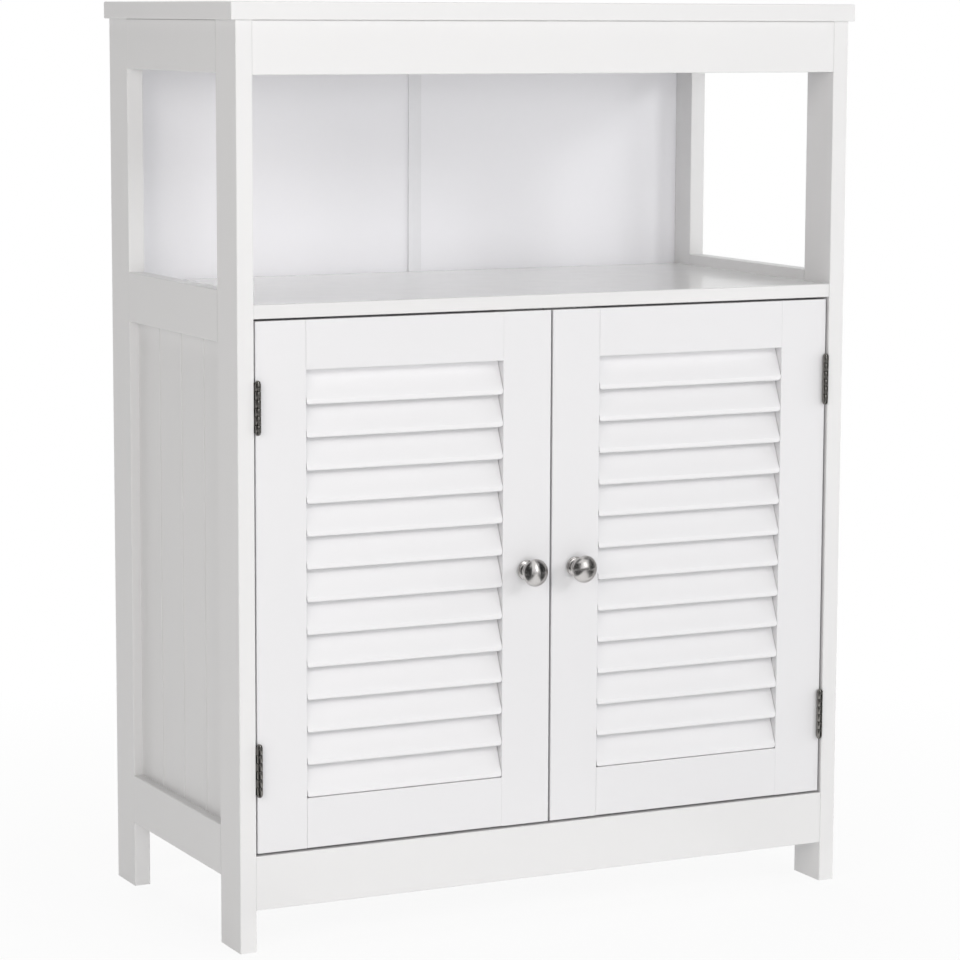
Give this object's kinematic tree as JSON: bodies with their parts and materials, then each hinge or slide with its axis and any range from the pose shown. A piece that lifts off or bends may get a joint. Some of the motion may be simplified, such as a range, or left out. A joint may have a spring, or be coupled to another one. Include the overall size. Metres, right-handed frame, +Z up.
{
  "type": "louvred door cabinet",
  "caption": "Free-standing white cabinet with framed grooved sides, an open niche over a counter board and a cupboard behind inset louvred doors on butt hinges with round knobs.",
  "frame": {"origin": "on the floor, in the middle of the whole object's footprint, knobs included", "axes": "+X to the right seen from the front, +Y from the doors to the back, +Z up"},
  "size_m": [0.6, 0.3198, 0.8],
  "materials": {
    "white_lacquer": "satin white lacquer on fibreboard",
    "door_lacquer": "satin white lacquer on fibreboard",
    "back_board": "white foil on thin hardboard",
    "strip_plastic": "extruded white plastic",
    "catch_plastic": "moulded white plastic",
    "magnet": "sintered black ferrite",
    "hinge_nickel": "bright nickel plate",
    "knob_nickel": "brushed nickel plate",
    "zinc_steel": "zinc plated steel",
    "beech": "bare fluted beech"
  },
  "bodies": {
    "carcass": {"adjustable_shelf": "white_lacquer", "back_joining_strip": "strip_plastic", "catch_screws": "zinc_steel", "counter_board": "white_lacquer", "dowels": "beech", "floor_board": "white_lacquer", "frame_leaf_screws": "zinc_steel", "left_back_panel": "back_board", "left_bottom_rail": "white_lacquer", "left_catch_case": "catch_plastic", "left_catch_magnet": "magnet", "left_front_post": "white_lacquer", "left_hinge_pins": "hinge_nickel", "left_lower_frame_leaf": "hinge_nickel", "left_middle_rail": "white_lacquer", "left_rear_post": "white_lacquer", "left_side_panel": "white_lacquer", "left_top_rail": "white_lacquer", "left_upper_frame_leaf": "hinge_nickel", "plinth_board": "white_lacquer", "right_back_panel": "back_board", "right_bottom_rail": "white_lacquer", "right_catch_case": "catch_plastic", "right_catch_magnet": "magnet", "right_front_post": "white_lacquer", "right_hinge_pins": "hinge_nickel", "right_lower_frame_leaf": "hinge_nickel", "right_middle_rail": "white_lacquer", "right_rear_post": "white_lacquer", "right_side_panel": "white_lacquer", "right_top_rail": "white_lacquer", "right_upper_frame_leaf": "hinge_nickel", "shelf_pins": "zinc_steel", "top_apron": "white_lacquer", "top_board": "white_lacquer"},
    "left_door": {"left_door_bottom_rail": "door_lacquer", "left_door_leaf_screws": "zinc_steel", "left_door_slats": "door_lacquer", "left_door_top_rail": "door_lacquer", "left_hinge_stile": "door_lacquer", "left_knob": "knob_nickel", "left_knob_screw": "zinc_steel", "left_lower_door_leaf": "hinge_nickel", "left_meeting_stile": "door_lacquer", "left_strike_plate": "zinc_steel", "left_strike_screw": "zinc_steel", "left_upper_door_leaf": "hinge_nickel"},
    "right_door": {"right_door_bottom_rail": "door_lacquer", "right_door_leaf_screws": "zinc_steel", "right_door_slats": "door_lacquer", "right_door_top_rail": "door_lacquer", "right_hinge_stile": "door_lacquer", "right_knob": "knob_nickel", "right_knob_screw": "zinc_steel", "right_lower_door_leaf": "hinge_nickel", "right_meeting_stile": "door_lacquer", "right_strike_plate": "zinc_steel", "right_strike_screw": "zinc_steel", "right_upper_door_leaf": "hinge_nickel"}
  },
  "joints": [
    {"name": "left_door_hinge", "type": "hinge", "parent": "carcass", "child": "left_door", "pos_m": [-0.2769, -0.13775, 0.311], "axis": [0, 0, -1], "range_deg": [0, 170]},
    {"name": "right_door_hinge", "type": "hinge", "parent": "carcass", "child": "right_door", "pos_m": [0.2769, -0.13775, 0.311], "axis": [0, 0, 1], "range_deg": [0, 170]}
  ]
}
